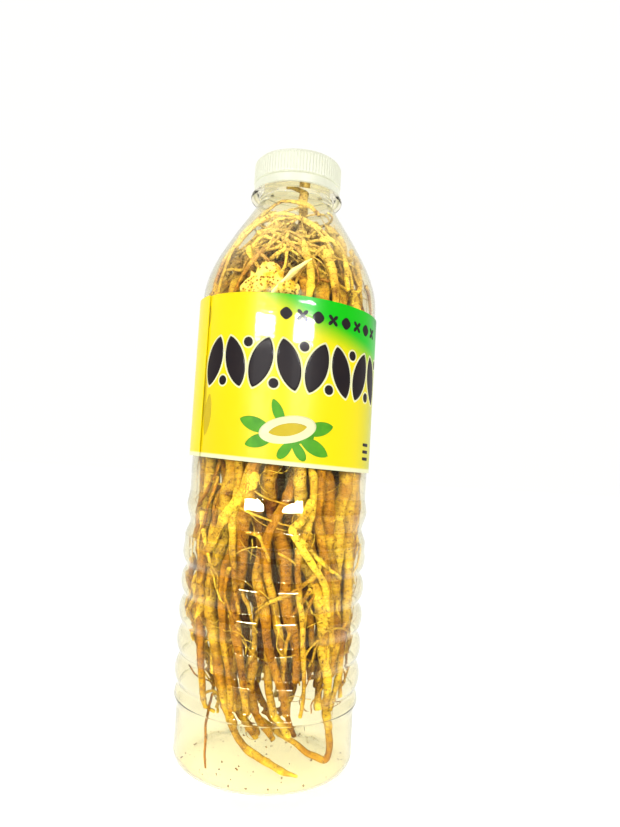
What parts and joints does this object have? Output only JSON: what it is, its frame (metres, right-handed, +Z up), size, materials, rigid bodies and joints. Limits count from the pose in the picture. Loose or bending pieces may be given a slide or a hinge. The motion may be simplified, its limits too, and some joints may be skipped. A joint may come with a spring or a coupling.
{
  "type": "bottle of ginseng roots",
  "caption": "Clear ribbed plastic bottle packed with long, thin, dried golden ginseng roots, with a wrapped label and a white screw cap that turns off.",
  "frame": {"origin": "centre of the bottle's base ring, on the surface that it stands on", "axes": "+Z up the bottle's axis, -Y towards someone who faces the label's front, +X to their right"},
  "size_m": [0.0652, 0.0652, 0.2145],
  "materials": {
    "bottle": "clear blown PET",
    "cap": "satin moulded polyethylene, slightly translucent",
    "liner": "soft foam liner",
    "label": "printed film, yellow fading to green",
    "root": "dry, wrinkled golden-brown skin"
  },
  "bodies": {
    "bottle_body": {"bottle": "bottle", "label": "label", "root_01": "root", "root_02": "root", "root_03": "root", "root_04": "root", "root_05": "root", "root_06": "root", "root_07": "root", "root_08": "root", "root_09": "root", "root_10": "root", "root_11": "root", "root_12": "root", "root_13": "root", "root_14": "root", "root_15": "root", "root_16": "root", "root_17": "root", "root_18": "root", "root_19": "root", "root_20": "root", "root_21": "root", "root_22": "root", "root_23": "root", "root_24": "root", "root_25": "root", "root_26": "root", "root_27": "root", "root_28": "root", "root_29": "root", "root_30": "root", "root_31": "root", "root_32": "root", "root_33": "root", "root_34": "root", "root_35": "root", "rootlet_1": "root", "rootlet_2": "root", "rootlet_3": "root", "rootlet_4": "root", "rootlet_5": "root", "seal_band": "cap"},
    "liner_body": {"cap_liner": "liner"},
    "cap_body": {"cap": "cap"}
  },
  "joints": [
    {"name": "cap_lift", "type": "slide", "parent": "bottle_body", "child": "liner_body", "axis": [0, 0, 1], "range_m": [0, 0.009]},
    {"name": "cap_turn", "type": "hinge", "parent": "liner_body", "child": "cap_body", "pos_m": [0, 0, 0.2103], "axis": [0, 0, 1], "range_deg": [0, 358]}
  ],
  "couplings": [
    {"joint": "cap_lift", "follows": "cap_turn", "m_per_rad": 0.0014324}
  ]
}
